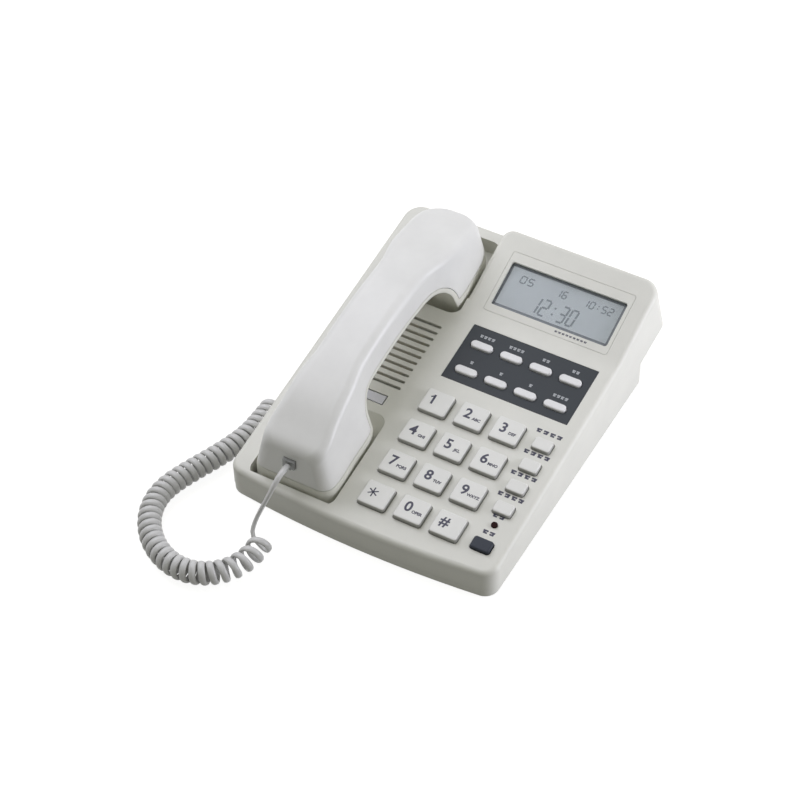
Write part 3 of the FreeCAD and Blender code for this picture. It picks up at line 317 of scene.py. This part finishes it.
def moulded(name, colour, roughness, mottle=0.03, grain=0.05, grain_size=0.35, edge=0.25, specular=0.5,
            uneven=0.06):
    """Moulded plastic: faint mottling, a fine spark-eroded grain, uneven gloss and softened edges."""
    material = bpy.data.materials.new(name)
    material.use_nodes = True
    tree = material.node_tree
    link = tree.links.new
    shader = tree.nodes["Principled BSDF"]
    shader.inputs["Specular IOR Level"].default_value = specular
    place = tree.nodes.new("ShaderNodeTexCoord")
    cloud = node_after(tree, "ShaderNodeTexNoise", Scale=45.0, Detail=4.0, Roughness=0.6)
    link(place.outputs["Object"], cloud.inputs["Vector"])
    tint = tree.nodes.new("ShaderNodeValToRGB")
    tint.color_ramp.elements[0].position = 0.3
    tint.color_ramp.elements[0].color = shade(colour, 1 - mottle)
    tint.color_ramp.elements[1].position = 0.7
    tint.color_ramp.elements[1].color = shade(colour, 1 + mottle)
    link(cloud.outputs["Fac"], tint.inputs["Fac"])
    link(tint.outputs["Color"], shader.inputs["Base Color"])
    gloss = node_after(tree, "ShaderNodeMapRange", To_Min=roughness - uneven, To_Max=roughness + uneven)
    link(cloud.outputs["Fac"], gloss.inputs["Value"])
    link(gloss.outputs["Result"], shader.inputs["Roughness"])
    fine = node_after(tree, "ShaderNodeTexNoise", Scale=1.0 / (grain_size * MM), Detail=2.0)
    link(place.outputs["Object"], fine.inputs["Vector"])
    bump = node_after(tree, "ShaderNodeBump", Strength=grain, Distance=0.1 * MM)
    link(fine.outputs["Fac"], bump.inputs["Height"])
    if edge > 0:
        soft = node_after(tree, "ShaderNodeBevel", Radius=edge * MM)
        link(soft.outputs["Normal"], bump.inputs["Normal"])
    link(bump.outputs["Normal"], shader.inputs["Normal"])
    return material


def painted_side_shade(material, up, side_shade):
    """Painted shade: darken a material's colour on faces that turn away from the upward direction of their
    surface, standing in for the shade that falls on those sides.
    """
    tree = material.node_tree
    link = tree.links.new
    shader = tree.nodes["Principled BSDF"]
    tint = shader.inputs["Base Color"].links[0].from_socket
    face = tree.nodes.new("ShaderNodeNewGeometry")
    turn = tree.nodes.new("ShaderNodeVectorMath")
    turn.operation = "DOT_PRODUCT"
    turn.inputs[1].default_value = up
    link(face.outputs["Normal"], turn.inputs[0])
    level = node_after(tree, "ShaderNodeMapRange", From_Min=0.3, From_Max=0.85, To_Min=side_shade)
    link(turn.outputs["Value"], level.inputs["Value"])
    shaded = tree.nodes.new("ShaderNodeVectorMath")
    shaded.operation = "SCALE"
    link(tint, shaded.inputs[0])
    link(level.outputs["Result"], shaded.inputs["Scale"])
    link(shaded.outputs["Vector"], shader.inputs["Base Color"])


def metal(name, colour, roughness):
    """Plated steel with fine turning marks."""
    material = moulded(name, colour, roughness, mottle=0.06, grain=0.15, grain_size=0.2, edge=0.1)
    material.node_tree.nodes["Principled BSDF"].inputs["Metallic"].default_value = 1.0
    return material


def clear(name, colour, roughness, alpha):
    """Clear moulding that lets light through to what lies under it."""
    material = moulded(name, colour, roughness, mottle=0.02, grain=0.0, edge=0.15, uneven=0.01)
    material.node_tree.nodes["Principled BSDF"].inputs["Alpha"].default_value = alpha
    return material


deck = Matrix.Translation((0, 0, deck_height)) @ Matrix.Rotation(math.radians(deck_tilt), 4, "X")
crease_z = deck_height + crease_y * math.tan(math.radians(deck_tilt))
screen = Matrix.Translation((0, crease_y, crease_z)) @ Matrix.Rotation(math.radians(screen_tilt), 4, "X")


def bar(shape, x, y, width, height, angle=0.0, lean=0.0):
    """A flat printed bar in the plane of its surface."""
    corners = []
    for level in (ink / 2, ink * 1.5):
        for sx, sy in ((-1, -1), (1, -1), (1, 1), (-1, 1)):
            across = sx * width / 2 + lean * sy * height / 2
            along = sy * height / 2
            turned_x = across * math.cos(angle) - along * math.sin(angle)
            turned_y = across * math.sin(angle) + along * math.cos(angle)
            corners.append(shape.verts.new((x + turned_x, y + turned_y, level)))
    low, high = corners[:4], corners[4:]
    shape.faces.new(high)
    shape.faces.new(low[::-1])
    for index in range(4):
        beside = (index + 1) % 4
        shape.faces.new((low[index], low[beside], high[beside], high[index]))


def letters(shape, text, x, y, size, weight):
    """Printed letters in the plane of their surface."""
    curve = bpy.data.curves.new("letters", "FONT")
    curve.body = text
    curve.size = size
    curve.align_x = "CENTER"
    curve.align_y = "CENTER"
    curve.offset = weight
    curve.extrude = ink / 2
    curve.resolution_u = 4
    holder = bpy.data.objects.new("letters", curve)
    scene.collection.objects.link(holder)
    bpy.context.view_layer.update()
    mesh = bpy.data.meshes.new_from_object(holder)
    mesh.transform(Matrix.Translation((x, y, ink)))
    shape.from_mesh(mesh)
    bpy.data.objects.remove(holder)
    bpy.data.curves.remove(curve)
    bpy.data.meshes.remove(mesh)


def printed(name, shape, plane, x, y, level, material, body, slot):
    """Finish a printed mark: set it on its surface and let it ride on a body."""
    mesh = bpy.data.meshes.new(name)
    shape.to_mesh(mesh)
    shape.free()
    mesh.transform(Matrix.Translation((x, y, level)))
    mesh.transform(Matrix.Scale(MM, 4) @ Matrix.Translation(plane.translation) @ plane.to_3x3().to_4x4())
    mesh.materials.append(material)
    mark = bpy.data.objects.new(name, mesh)
    scene.collection.objects.link(mark)
    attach(mark, body)


segments = {"0": "abcdef", "1": "bc", "2": "abged", "3": "abgcd", "4": "fgbc", "5": "afgcd", "6": "afgedc",
            "7": "abc", "8": "abcdefg", "9": "abcdfg"}


def seven_segment(shape, text, x, y, width, height, stroke):
    """Digits of a segment display, leaning a little."""
    step = width * segment_step
    places = {"a": (0, 1, True), "b": (1, 0.5, False), "c": (1, -0.5, False), "d": (0, -1, True),
              "e": (-1, -0.5, False), "f": (-1, 0.5, False), "g": (0, 0, True)}
    lean = segment_lean
    for index, sign in enumerate(text):
        middle = x + (index - (len(text) - 1) / 2) * step
        if sign == ":":
            for side in (-1, 1):
                bar(shape, middle + lean * side * height / 5, y + side * height / 5, stroke, stroke)
            continue
        for piece in segments[sign]:
            across, along, flat = places[piece]
            px = middle + across * width / 2 + lean * along * height / 2
            py = y + along * height / 2
            long = (width if flat else height / 2) - segment_gap * stroke
            if flat:
                bar(shape, px, py, long, stroke)
            else:
                bar(shape, px, py, stroke, long, lean=lean)


def key_marks(material):
    """Digits, letters, star and hash on the dial keys."""
    for index, name in enumerate(key_names):
        shape = bmesh.new()
        sign = name.split("_")[1]
        if sign == "star":
            for turn in range(3):
                bar(shape, *star_place, *star_bar, angle=turn * math.pi / 3)
        else:
            letters(shape, "#" if sign == "hash" else sign, *digit_place, digit_size, digit_weight)
        if sign == "1":
            bar(shape, *flag_place, *flag_bar, angle=flag_turn)
        if letter_groups[index]:
            letters(shape, letter_groups[index], *letter_place, letter_size, letter_weight)
        x = key_first[0] + (index % 3) * key_pitch[0]
        v = key_first[1] - (index // 3) * key_pitch[1]
        printed("print_" + name, shape, deck, x, v, key_top, material, name + "_body", "dark_parts")


def label_signs(shape, x, v, count, pitch, width, height):
    """A row of plain signs, each of two thick level strokes joined by a short upright one."""
    for index in range(count):
        place = x + (index - (count - 1) / 2) * pitch
        side = index % 2 - 0.5
        bar(shape, place, v + 0.29 * height, width, 0.42 * height)
        bar(shape, place, v - 0.29 * height, 0.8 * width, 0.42 * height)
        bar(shape, place + side * 0.4 * width, v, 0.4 * width, 0.2 * height)


def label_marks(dark, pale):
    """Plain label signs beside the function keys, the lamp, the speaker button and the panel buttons."""
    shape = bmesh.new()
    for row in range(function_key_count):
        v = function_key_first_v - row * function_key_pitch + function_label_rise
        label_signs(shape, label_shift, v, function_label_count, *function_label)
    label_signs(shape, label_shift, lamp_v + lamp_label_rise, small_label_count, *small_label)
    label_signs(shape, label_shift, speaker_button_v + speaker_label_rise, small_label_count, *small_label)
    printed("print_labels", shape, deck, function_key_x, 0, 0, dark, "base", "dark_parts")
    shape = bmesh.new()
    for index, count in enumerate(panel_label_counts):
        x = panel_button_first[0] + (index % 4) * panel_button_pitch[0]
        v = panel_button_first[1] - (index // 4) * panel_button_pitch[1]
        label_signs(shape, x, v + panel_label_rise, count, *panel_label)
    printed("print_panel", shape, deck, 0, 0, 0, pale, "base", "panel_buttons")
    shape = bmesh.new()
    label_signs(shape, display_place[0] + bezel_label_shift, bezel_label_r, bezel_label_count, *bezel_label)
    printed("print_bezel", shape, screen, 0, 0, 0, dark, "base", "dark_parts")


def display_marks(material, rim_and_shade):
    """Clock digits on the display, and the dark border of its glass, partly a printed border and partly
    painted shade of the window's recess.
    """
    shape = bmesh.new()
    for row in display_rows:
        seven_segment(shape, *row)
    printed("display_digits", shape, screen, *display_place, display_top, material, "base", "display")
    # Dark border: partly printed, partly painted shade of the recess walls round the window.
    shape = bmesh.new()
    width, length = window_size
    for level, thick in ((length / 2, border_and_shade_top), (-length / 2, border_and_shade_bottom)):
        bar(shape, 0, level, width, thick)
    for side, thick in ((-width / 2, border_and_shade_left), (width / 2, border_and_shade_right)):
        bar(shape, side, 0, thick, length)
    printed("display_border_and_shade", shape, screen, *display_place, display_top, rim_and_shade, "base", "panel")


def dress():
    """A material on every carried-over node."""
    off_white = (0.75, 0.748, 0.69)
    shell = moulded("housing_plastic", off_white, 0.46)
    grip = moulded("handset_plastic", (0.83, 0.83, 0.81), 0.34, grain=0.03, edge=0.5)
    lining = moulded("handset_inner_plastic", (0.78, 0.78, 0.71), 0.4, grain=0.03, edge=1.2)
    cap = moulded("key_plastic", (0.80, 0.80, 0.765), 0.42, grain=0.02, edge=0.4)
    # Painted shade on the sides of the key caps, darker the further they turn from the deck's upward
    # direction.
    painted_side_shade(cap, deck.to_3x3() @ Vector((0, 0, 1)), 0.5)
    pearl = moulded("pearl_plastic", (0.80, 0.80, 0.80), 0.34, grain=0.01)
    slate = moulded("panel_plastic", (0.030, 0.036, 0.042), 0.5, mottle=0.06, specular=0.3)
    dark = moulded("dark_slate_rubber", (0.022, 0.028, 0.040), 0.5, mottle=0.08, specular=0.3)
    lilac = moulded("hook_plastic", (0.72, 0.72, 0.77), 0.42)
    window = clear("window_acrylic", (0.66, 0.72, 0.76), 0.12, 0.10)
    glass = moulded("display_glass", (0.79, 0.85, 0.875), 0.3, mottle=0.01, grain=0.0, uneven=0.01)
    rubber = moulded("foot_rubber", (0.03, 0.03, 0.032), 0.8, mottle=0.15, grain=0.2)
    membrane = moulded("mat_silicone", (0.45, 0.46, 0.48), 0.6, mottle=0.05)
    board = moulded("board_laminate", (0.02, 0.11, 0.05), 0.45, mottle=0.12)
    black = moulded("black_parts", (0.022, 0.022, 0.024), 0.5, mottle=0.1)
    socket = moulded("socket_plastic", (0.13, 0.125, 0.12), 0.5)
    plug = clear("plug_plastic", (0.55, 0.56, 0.56), 0.25, 0.55)
    lamp = moulded("lamp_lens", (0.016, 0.002, 0.002), 0.5, mottle=0.12, grain=0.02, specular=0.08)
    paper = moulded("speaker_cone", (0.34, 0.25, 0.15), 0.7, mottle=0.1)
    steel = metal("plated_steel", (0.62, 0.61, 0.58), 0.32)
    worn = {
        "top_housing": shell, "bottom_cover": shell, "lcd_bezel": shell, "rubber_feet": rubber,
        "cover_screws": steel, "button_panel": slate, "lcd_window": window, "lcd_module": glass,
        "keypad_mat": membrane, "main_board": board, "board_screws": steel, "base_microphone": black,
        "base_speaker": paper, "hook_lever": lilac, "hook_switch": black, "indicator_lamp": lamp,
        "cord_socket": socket, "line_socket": socket, "base_plug": plug, "handset_plug": plug,
        "speaker_button": dark, "handset_outer_shell": grip, "handset_inner_shell": lining,
        "ear_receiver": black, "handset_microphone": black, "handset_weight": steel,
        "handset_screws": steel, "handset_socket": socket}
    for name, holder in nodes.items():
        if name.startswith("key_") or name.startswith("function_key"):
            material = cap
        elif name.startswith("panel_button"):
            material = pearl
        else:
            material = worn.get(name, shell)
        holder.data.materials.clear()
        holder.data.materials.append(material)


def seen_white(tree):
    """Socket that is 1 for camera, glossy and transmission rays, which see the white background."""
    path = tree.nodes.new("ShaderNodeLightPath")
    seen = path.outputs["Is Camera Ray"]
    for kind in ("Is Glossy Ray", "Is Transmission Ray"):
        either = tree.nodes.new("ShaderNodeMath")
        either.operation = "MAXIMUM"
        tree.links.new(seen, either.inputs[0])
        tree.links.new(path.outputs[kind], either.inputs[1])
        seen = either.outputs["Value"]
    return seen


def soft_box(name, place, size, power):
    """A square lamp that faces the middle of the phone."""
    light = bpy.data.lights.new(name, "AREA")
    light.shape = "SQUARE"
    light.size = size
    light.energy = power
    light.color = lamp_colour
    lamp = bpy.data.objects.new(name, light)
    lamp.location = place
    lamp.rotation_mode = "QUATERNION"
    lamp.rotation_quaternion = (-lamp.location).to_track_quat("-Z", "Y")
    scene.collection.objects.link(lamp)


def stage():
    """Pale floor, white backdrop and soft studio light."""
    world = bpy.data.worlds.new("studio")
    scene.world = world
    world.use_nodes = True
    tree = world.node_tree
    back = tree.nodes["Background"]
    seen = seen_white(tree)
    tint = tree.nodes.new("ShaderNodeValToRGB")
    tint.color_ramp.elements[0].color = sky_colour
    tint.color_ramp.elements[1].color = white
    tree.links.new(seen, tint.inputs["Fac"])
    tree.links.new(tint.outputs["Color"], back.inputs["Color"])
    place = tree.nodes.new("ShaderNodeTexCoord")
    rise = tree.nodes.new("ShaderNodeVectorMath")
    rise.operation = "DOT_PRODUCT"
    rise.inputs[1].default_value = sky_way
    tree.links.new(place.outputs["Generated"], rise.inputs[0])
    sky = node_after(tree, "ShaderNodeMapRange", From_Min=-0.6, From_Max=1.0, To_Min=sky_low, To_Max=sky_high)
    tree.links.new(rise.outputs["Value"], sky.inputs["Value"])
    fill = node_after(tree, "ShaderNodeMapRange", To_Max=1.0)
    tree.links.new(sky.outputs["Result"], fill.inputs["To Min"])
    tree.links.new(seen, fill.inputs["Value"])
    tree.links.new(fill.outputs["Result"], back.inputs["Strength"])

    mesh = bpy.data.meshes.new("floor")
    shape = bmesh.new()
    bmesh.ops.create_grid(shape, x_segments=1, y_segments=1, size=floor_size)
    shape.to_mesh(mesh)
    shape.free()
    floor = bpy.data.objects.new("floor", mesh)
    scene.collection.objects.link(floor)
    material = bpy.data.materials.new("floor_white")
    material.use_nodes = True
    tree = material.node_tree
    shader = tree.nodes["Principled BSDF"]
    shader.inputs["Base Color"].default_value = floor_colour
    shader.inputs["Roughness"].default_value = 0.9
    shader.inputs["Specular IOR Level"].default_value = 0.0
    shader.inputs["Emission Color"].default_value = white
    level = node_after(tree, "ShaderNodeMapRange", To_Max=floor_seen)
    tree.links.new(seen_white(tree), level.inputs["Value"])
    tree.links.new(level.outputs["Result"], shader.inputs["Emission Strength"])
    mesh.materials.append(material)

    soft_box("right_box", *right_lamp)
    soft_box("left_box", *left_lamp)


place_camera()
vinyl = moulded("cord_vinyl", (0.64, 0.64, 0.63), 0.34, mottle=0.03, grain=0.02, edge=0)
curly_cord(vinyl)
dress()
ink_dark = moulded("ink_dark", (0.05, 0.05, 0.08), 0.55, mottle=0.1, grain=0.02, edge=0)
ink_pale = moulded("ink_pale", (0.42, 0.44, 0.46), 0.55, mottle=0.05, grain=0.02, edge=0)
ink_display = moulded("ink_display", (0.16, 0.19, 0.21), 0.4, mottle=0.05, grain=0.01, edge=0)
# Colour of the display glass's dark border, partly print and partly painted shade.
border_and_shade_ink = moulded("border_and_shade_ink", (0.10, 0.115, 0.13), 0.4, mottle=0.05, grain=0.01, edge=0)
key_marks(ink_dark)
label_marks(ink_dark, ink_pale)
display_marks(ink_display, border_and_shade_ink)
stage()
